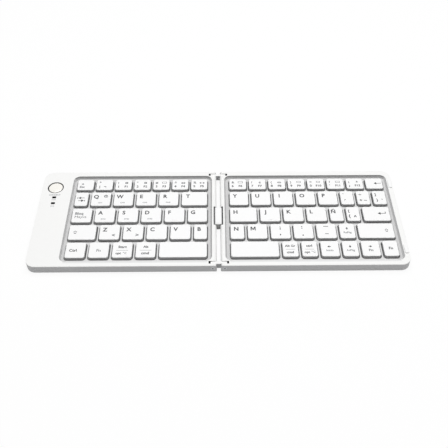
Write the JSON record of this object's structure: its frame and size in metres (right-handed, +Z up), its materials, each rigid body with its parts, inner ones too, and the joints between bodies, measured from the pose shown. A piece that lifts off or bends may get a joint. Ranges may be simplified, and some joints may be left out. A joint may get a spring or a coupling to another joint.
{
  "type": "folding keyboard",
  "caption": "Pocket keyboard in two thin halves that fold face to face on a double-pivot hinge, with scissor keys, a power button and a charging socket.",
  "frame": {"origin": "On the surface that the feet stand on, under the middle of the bounding box, which is the middle of the hinge.", "axes": "X runs along the opened keyboard towards the right half, Y from the front edge to the back edge, Z up."},
  "size_m": [0.2484, 0.0892, 0.0068],
  "materials": {
    "silver_plastic": "moulded plastic with a satin silver coat",
    "white_plastic": "fine-textured white moulding",
    "keycap_plastic": "satin white keycaps with grey printed legends",
    "button_plastic": "smooth ivory button",
    "window_plastic": "smoked light guides",
    "boot_silicone": "soft white sleeve",
    "cable_film": "amber polyimide film",
    "plate_steel": "stamped steel sheet",
    "membrane_film": "printed polyester film",
    "dome_silicone": "translucent silicone",
    "clip_plastic": "natural acetal",
    "circuit_board": "green solder mask",
    "battery_foil": "pouch cell foil",
    "socket_steel": "drawn stainless shell",
    "switch_plastic": "black switch body",
    "foot_rubber": "grey rubber",
    "pad_rubber": "pale rubber",
    "screw_steel": "plated steel"
  },
  "bodies": {
    "left_half": {"left_bottom_cover": "silver_plastic", "left_top_cover": "white_plastic", "left_key_plate": "plate_steel", "left_membrane": "membrane_film", "left_domes": "dome_silicone", "left_scissor_clips": "clip_plastic", "main_board": "circuit_board", "battery": "battery_foil", "charging_socket": "socket_steel", "power_switch": "switch_plastic", "indicator_windows": "window_plastic", "left_feet": "foot_rubber", "left_screws": "screw_steel", "left_hinge_pins": "screw_steel"},
    "hinge_links": {"hinge_link_front": "white_plastic", "hinge_link_back": "white_plastic", "cable_boot": "boot_silicone", "flat_cable": "cable_film"},
    "right_half": {"right_bottom_cover": "silver_plastic", "right_top_cover": "white_plastic", "right_key_plate": "plate_steel", "right_membrane": "membrane_film", "right_domes": "dome_silicone", "right_scissor_clips": "clip_plastic", "right_feet": "foot_rubber", "right_screws": "screw_steel", "right_hinge_pins": "screw_steel", "bumper_pads": "pad_rubber"},
    "power_button": {"power_button": "button_plastic"},
    "escape_key": {"escape_key": "keycap_plastic"},
    "left_digit_keys": {"left_digit_keys": "keycap_plastic"},
    "tab_key": {"tab_key": "keycap_plastic"},
    "left_upper_letters": {"left_upper_letters": "keycap_plastic"},
    "caps_lock_key": {"caps_lock_key": "keycap_plastic"},
    "left_middle_letters": {"left_middle_letters": "keycap_plastic"},
    "left_shift_key": {"left_shift_key": "keycap_plastic"},
    "left_lower_letters": {"left_lower_letters": "keycap_plastic"},
    "left_control_key": {"left_control_key": "keycap_plastic"},
    "left_function_key": {"left_function_key": "keycap_plastic"},
    "left_option_key": {"left_option_key": "keycap_plastic"},
    "left_alt_key": {"left_alt_key": "keycap_plastic"},
    "left_space_key": {"left_space_key": "keycap_plastic"},
    "right_digit_keys": {"right_digit_keys": "keycap_plastic"},
    "backspace_key": {"backspace_key": "keycap_plastic"},
    "right_upper_letters": {"right_upper_letters": "keycap_plastic"},
    "right_upper_symbols": {"right_upper_symbols": "keycap_plastic"},
    "right_middle_letters": {"right_middle_letters": "keycap_plastic"},
    "right_middle_symbols": {"right_middle_symbols": "keycap_plastic"},
    "enter_key": {"enter_key": "keycap_plastic"},
    "right_lower_letters": {"right_lower_letters": "keycap_plastic"},
    "right_lower_symbols": {"right_lower_symbols": "keycap_plastic"},
    "arrow_up_key": {"arrow_up_key": "keycap_plastic"},
    "right_shift_key": {"right_shift_key": "keycap_plastic"},
    "right_space_key": {"right_space_key": "keycap_plastic"},
    "right_alt_key": {"right_alt_key": "keycap_plastic"},
    "right_option_key": {"right_option_key": "keycap_plastic"},
    "arrow_left_key": {"arrow_left_key": "keycap_plastic"},
    "arrow_down_key": {"arrow_down_key": "keycap_plastic"},
    "arrow_right_key": {"arrow_right_key": "keycap_plastic"},
    "right_function_key": {"right_function_key": "keycap_plastic"}
  },
  "joints": [
    {"name": "left_fold", "type": "hinge", "parent": "left_half", "child": "hinge_links", "pos_m": [-0.0039, 0, 0.0032], "axis": [0, -1, 0], "range_deg": [0, 90], "deforming": ["cable_boot", "flat_cable"]},
    {"name": "right_fold", "type": "hinge", "parent": "hinge_links", "child": "right_half", "pos_m": [0.0039, 0, 0.0032], "axis": [0, -1, 0], "range_deg": [0, 90]},
    {"name": "power_press", "type": "slide", "parent": "left_half", "child": "power_button", "axis": [0, 0, -1], "range_m": [0, 0.0003], "stiffness_N_per_m": 1200, "springref_m": -0.0002},
    {"name": "escape_press", "type": "slide", "parent": "left_half", "child": "escape_key", "axis": [0, 0, -1], "range_m": [0, 0.0012], "stiffness_N_per_m": 400, "springref_m": -0.0005, "deforming": ["left_domes", "left_scissor_clips"]},
    {"name": "left_digit_press", "type": "slide", "parent": "left_half", "child": "left_digit_keys", "axis": [0, 0, -1], "range_m": [0, 0.0012], "stiffness_N_per_m": 2400, "springref_m": -0.0005},
    {"name": "tab_press", "type": "slide", "parent": "left_half", "child": "tab_key", "axis": [0, 0, -1], "range_m": [0, 0.0012], "stiffness_N_per_m": 400, "springref_m": -0.0005},
    {"name": "left_upper_letters_press", "type": "slide", "parent": "left_half", "child": "left_upper_letters", "axis": [0, 0, -1], "range_m": [0, 0.0012], "stiffness_N_per_m": 2000, "springref_m": -0.0005},
    {"name": "caps_lock_press", "type": "slide", "parent": "left_half", "child": "caps_lock_key", "axis": [0, 0, -1], "range_m": [0, 0.0012], "stiffness_N_per_m": 400, "springref_m": -0.0005},
    {"name": "left_middle_letters_press", "type": "slide", "parent": "left_half", "child": "left_middle_letters", "axis": [0, 0, -1], "range_m": [0, 0.0012], "stiffness_N_per_m": 2000, "springref_m": -0.0005},
    {"name": "left_shift_press", "type": "slide", "parent": "left_half", "child": "left_shift_key", "axis": [0, 0, -1], "range_m": [0, 0.0012], "stiffness_N_per_m": 400, "springref_m": -0.0005},
    {"name": "left_lower_letters_press", "type": "slide", "parent": "left_half", "child": "left_lower_letters", "axis": [0, 0, -1], "range_m": [0, 0.0012], "stiffness_N_per_m": 2000, "springref_m": -0.0005},
    {"name": "left_control_press", "type": "slide", "parent": "left_half", "child": "left_control_key", "axis": [0, 0, -1], "range_m": [0, 0.0012], "stiffness_N_per_m": 400, "springref_m": -0.0005},
    {"name": "left_function_press", "type": "slide", "parent": "left_half", "child": "left_function_key", "axis": [0, 0, -1], "range_m": [0, 0.0012], "stiffness_N_per_m": 400, "springref_m": -0.0005},
    {"name": "left_option_press", "type": "slide", "parent": "left_half", "child": "left_option_key", "axis": [0, 0, -1], "range_m": [0, 0.0012], "stiffness_N_per_m": 400, "springref_m": -0.0005},
    {"name": "left_alt_press", "type": "slide", "parent": "left_half", "child": "left_alt_key", "axis": [0, 0, -1], "range_m": [0, 0.0012], "stiffness_N_per_m": 400, "springref_m": -0.0005},
    {"name": "left_space_press", "type": "slide", "parent": "left_half", "child": "left_space_key", "axis": [0, 0, -1], "range_m": [0, 0.0012], "stiffness_N_per_m": 400, "springref_m": -0.0005},
    {"name": "right_digit_press", "type": "slide", "parent": "right_half", "child": "right_digit_keys", "axis": [0, 0, -1], "range_m": [0, 0.0012], "stiffness_N_per_m": 2800, "springref_m": -0.0005},
    {"name": "backspace_press", "type": "slide", "parent": "right_half", "child": "backspace_key", "axis": [0, 0, -1], "range_m": [0, 0.0012], "stiffness_N_per_m": 400, "springref_m": -0.0005},
    {"name": "right_upper_letters_press", "type": "slide", "parent": "right_half", "child": "right_upper_letters", "axis": [0, 0, -1], "range_m": [0, 0.0012], "stiffness_N_per_m": 2000, "springref_m": -0.0005},
    {"name": "right_upper_symbols_press", "type": "slide", "parent": "right_half", "child": "right_upper_symbols", "axis": [0, 0, -1], "range_m": [0, 0.0012], "stiffness_N_per_m": 1200, "springref_m": -0.0005},
    {"name": "right_middle_letters_press", "type": "slide", "parent": "right_half", "child": "right_middle_letters", "axis": [0, 0, -1], "range_m": [0, 0.0012], "stiffness_N_per_m": 2000, "springref_m": -0.0005},
    {"name": "right_middle_symbols_press", "type": "slide", "parent": "right_half", "child": "right_middle_symbols", "axis": [0, 0, -1], "range_m": [0, 0.0012], "stiffness_N_per_m": 400, "springref_m": -0.0005},
    {"name": "enter_press", "type": "slide", "parent": "right_half", "child": "enter_key", "axis": [0, 0, -1], "range_m": [0, 0.0012], "stiffness_N_per_m": 400, "springref_m": -0.0005},
    {"name": "right_lower_letters_press", "type": "slide", "parent": "right_half", "child": "right_lower_letters", "axis": [0, 0, -1], "range_m": [0, 0.0012], "stiffness_N_per_m": 800, "springref_m": -0.0005},
    {"name": "right_lower_symbols_press", "type": "slide", "parent": "right_half", "child": "right_lower_symbols", "axis": [0, 0, -1], "range_m": [0, 0.0012], "stiffness_N_per_m": 1200, "springref_m": -0.0005},
    {"name": "arrow_up_press", "type": "slide", "parent": "right_half", "child": "arrow_up_key", "axis": [0, 0, -1], "range_m": [0, 0.0012], "stiffness_N_per_m": 400, "springref_m": -0.0005},
    {"name": "right_shift_press", "type": "slide", "parent": "right_half", "child": "right_shift_key", "axis": [0, 0, -1], "range_m": [0, 0.0012], "stiffness_N_per_m": 400, "springref_m": -0.0005},
    {"name": "right_space_press", "type": "slide", "parent": "right_half", "child": "right_space_key", "axis": [0, 0, -1], "range_m": [0, 0.0012], "stiffness_N_per_m": 400, "springref_m": -0.0005, "deforming": ["right_domes", "right_scissor_clips"]},
    {"name": "right_alt_press", "type": "slide", "parent": "right_half", "child": "right_alt_key", "axis": [0, 0, -1], "range_m": [0, 0.0012], "stiffness_N_per_m": 400, "springref_m": -0.0005},
    {"name": "right_option_press", "type": "slide", "parent": "right_half", "child": "right_option_key", "axis": [0, 0, -1], "range_m": [0, 0.0012], "stiffness_N_per_m": 400, "springref_m": -0.0005},
    {"name": "arrow_left_press", "type": "slide", "parent": "right_half", "child": "arrow_left_key", "axis": [0, 0, -1], "range_m": [0, 0.0012], "stiffness_N_per_m": 400, "springref_m": -0.0005},
    {"name": "arrow_down_press", "type": "slide", "parent": "right_half", "child": "arrow_down_key", "axis": [0, 0, -1], "range_m": [0, 0.0012], "stiffness_N_per_m": 400, "springref_m": -0.0005},
    {"name": "arrow_right_press", "type": "slide", "parent": "right_half", "child": "arrow_right_key", "axis": [0, 0, -1], "range_m": [0, 0.0012], "stiffness_N_per_m": 400, "springref_m": -0.0005},
    {"name": "right_function_press", "type": "slide", "parent": "right_half", "child": "right_function_key", "axis": [0, 0, -1], "range_m": [0, 0.0012], "stiffness_N_per_m": 400, "springref_m": -0.0005}
  ]
}
